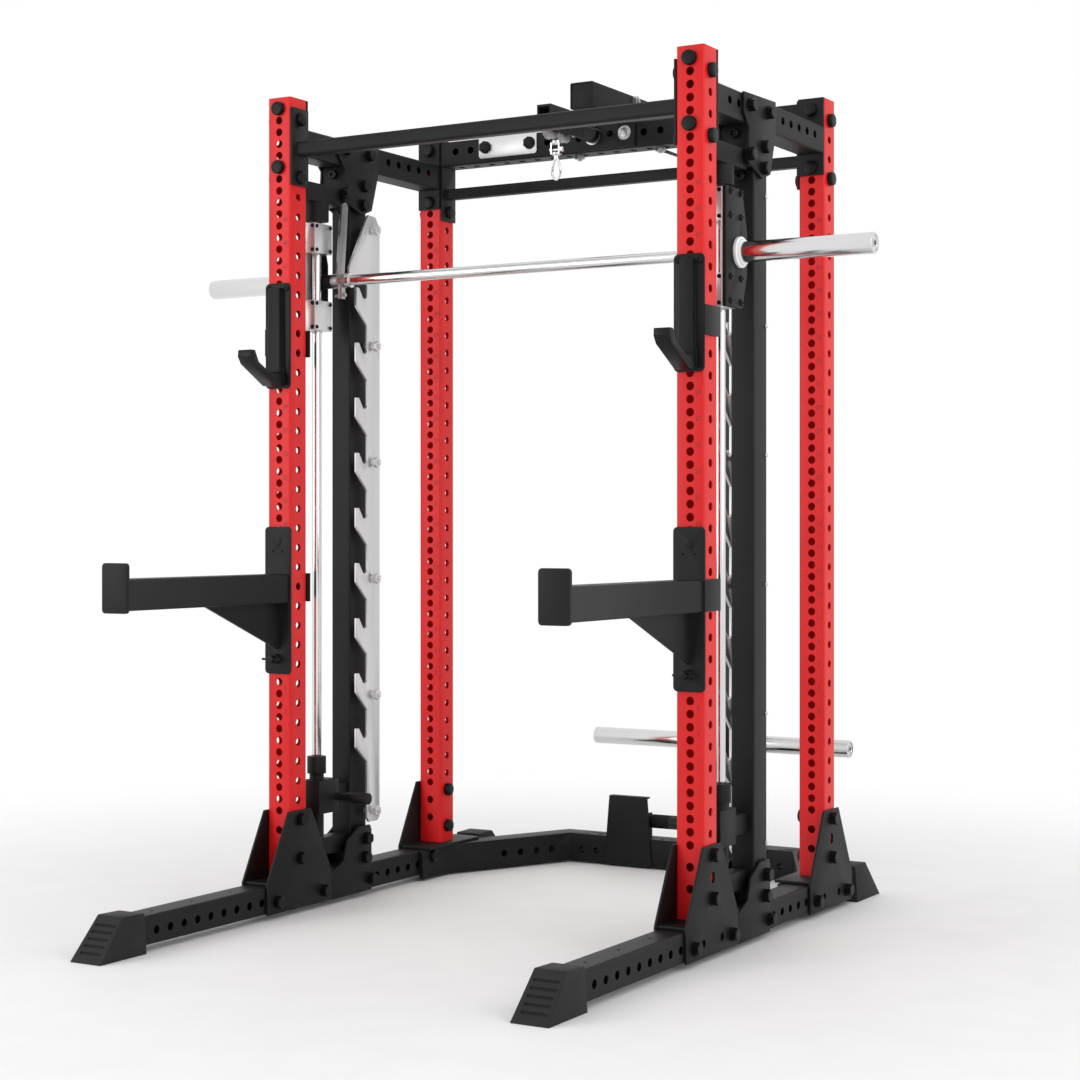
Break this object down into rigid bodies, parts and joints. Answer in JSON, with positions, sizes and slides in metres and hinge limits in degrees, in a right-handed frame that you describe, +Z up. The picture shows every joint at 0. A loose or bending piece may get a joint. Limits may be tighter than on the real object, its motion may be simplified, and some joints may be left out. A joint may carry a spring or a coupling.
{
  "type": "power cage",
  "caption": "Free-standing power cage with drilled uprights, sliding guided bar on guide rods, bar hooks, spotter arms, pull-up bar and a plate-loaded pulldown tower.",
  "frame": {"origin": "centre of the footprint box, at floor level under the feet", "axes": "+Z up, +X to the right of a person facing the cage from its open front, -Y towards that person"},
  "size_m": [1.915, 2.17, 2.17],
  "materials": {
    "red_paint": "semi-gloss powder coat",
    "black_paint": "satin powder coat",
    "chrome": "polished",
    "plated_steel": "pale satin",
    "rubber": "matte",
    "white_plastic": "gloss",
    "cable_sheath": "matte"
  },
  "bodies": {
    "frame": {"upright_front_left": "red_paint", "upright_front_right": "red_paint", "upright_rear_left": "red_paint", "upright_rear_right": "red_paint", "base_rail_left": "black_paint", "base_rail_right": "black_paint", "upright_base_front_left": "black_paint", "upright_base_front_right": "black_paint", "upright_base_rear_left": "black_paint", "upright_base_rear_right": "black_paint", "side_beam_left": "black_paint", "side_beam_right": "black_paint", "pull_up_bar": "black_paint", "rear_cross_frame": "black_paint", "smith_top_bracket_left": "black_paint", "smith_top_bracket_right": "black_paint", "smith_column_left": "black_paint", "smith_column_right": "black_paint", "smith_base_bracket_left": "black_paint", "smith_base_bracket_right": "black_paint", "rod_foot_holder_left": "black_paint", "rod_foot_holder_right": "black_paint", "spotter_arm_left": "black_paint", "spotter_arm_right": "black_paint", "rear_base": "black_paint", "tower_mast": "black_paint", "lat_beam": "black_paint", "guide_rod_left": "chrome", "guide_rod_right": "chrome", "blank_name_plate": "plated_steel", "catch_plate_left": "plated_steel", "catch_plate_right": "plated_steel", "foot_front_left": "rubber", "foot_front_right": "rubber", "foot_rear_left": "rubber", "foot_rear_right": "rubber", "lat_cable_run": "cable_sheath", "lat_cable_front_drop": "cable_sheath", "lat_cable_rear_drop": "cable_sheath"},
    "smith_carriage": {"bearing_blocks_left": "plated_steel", "bearing_blocks_right": "plated_steel", "carriage_plate_left": "black_paint", "carriage_plate_right": "black_paint", "bar_collar_left": "white_plastic", "bar_collar_right": "white_plastic"},
    "smith_bar": {"smith_bar": "chrome", "bar_hook_left": "chrome", "bar_hook_right": "chrome"},
    "j_cup_left": {"j_cup_left": "black_paint"},
    "j_cup_right": {"j_cup_right": "black_paint"},
    "spotter_pin_left": {"spotter_pin_left": "black_paint"},
    "spotter_pin_right": {"spotter_pin_right": "black_paint"},
    "base_roller": {"base_roller": "rubber"},
    "pulley_guide": {"pulley_guide": "plated_steel"},
    "pulley_main": {"pulley_main": "plated_steel"},
    "pulley_tower": {"pulley_tower": "plated_steel"},
    "lat_carriage": {"lat_carriage": "black_paint", "loading_sleeve_left": "chrome", "loading_sleeve_right": "chrome"},
    "snap_hook": {"lat_snap_hook": "chrome"}
  },
  "joints": [
    {"name": "smith_slide", "type": "slide", "parent": "frame", "child": "smith_carriage", "axis": [0, 0, 1], "range_m": [-1.116, 0.0045]},
    {"name": "smith_bar_turn", "type": "hinge", "parent": "smith_carriage", "child": "smith_bar", "pos_m": [0, -0.165, 1.64], "axis": [-1, 0, 0], "range_deg": [-60, 22]},
    {"name": "j_cup_swing_left", "type": "hinge", "parent": "frame", "child": "j_cup_left", "pos_m": [-0.586, -0.363, 1.585], "axis": [0, 1, 0], "range_deg": [0, 90]},
    {"name": "j_cup_swing_right", "type": "hinge", "parent": "frame", "child": "j_cup_right", "pos_m": [0.586, -0.363, 1.585], "axis": [0, -1, 0], "range_deg": [0, 90]},
    {"name": "spotter_pin_pull_left", "type": "slide", "parent": "frame", "child": "spotter_pin_left", "axis": [0, -1, 0], "range_m": [0, 0.028], "stiffness_N_per_m": 500, "springref_m": -0.01},
    {"name": "spotter_pin_pull_right", "type": "slide", "parent": "frame", "child": "spotter_pin_right", "axis": [0, -1, 0], "range_m": [0, 0.028], "stiffness_N_per_m": 500, "springref_m": -0.01},
    {"name": "base_roller_spin", "type": "hinge", "parent": "frame", "child": "base_roller", "pos_m": [0, 0.789, 0.134], "axis": [1, 0, 0], "continuous": true},
    {"name": "lat_carriage_slide", "type": "slide", "parent": "frame", "child": "lat_carriage", "axis": [0, 0, 1], "range_m": [0, 1.25], "deforming": ["lat_cable_rear_drop"]},
    {"name": "snap_hook_slide", "type": "slide", "parent": "frame", "child": "snap_hook", "axis": [0, 0, 1], "range_m": [-1.26, 0.001], "deforming": ["lat_cable_front_drop"]},
    {"name": "pulley_main_spin", "type": "hinge", "parent": "frame", "child": "pulley_main", "pos_m": [0, 0.0783, 2.025], "axis": [1, 0, 0], "range_deg": [-20, 2190]},
    {"name": "pulley_tower_spin", "type": "hinge", "parent": "frame", "child": "pulley_tower", "pos_m": [0, 0.94, 2.025], "axis": [1, 0, 0], "range_deg": [-20, 2190]},
    {"name": "pulley_guide_spin", "type": "hinge", "parent": "frame", "child": "pulley_guide", "pos_m": [0, 0.0117, 2.025], "axis": [1, 0, 0], "range_deg": [-2190, 20]}
  ],
  "couplings": [
    {"joint": "snap_hook_slide", "follows": "lat_carriage_slide", "ratio": -1},
    {"joint": "pulley_main_spin", "follows": "lat_carriage_slide", "rad_per_m": 30.03},
    {"joint": "pulley_tower_spin", "follows": "lat_carriage_slide", "rad_per_m": 30.03},
    {"joint": "pulley_guide_spin", "follows": "lat_carriage_slide", "rad_per_m": -30.03}
  ]
}
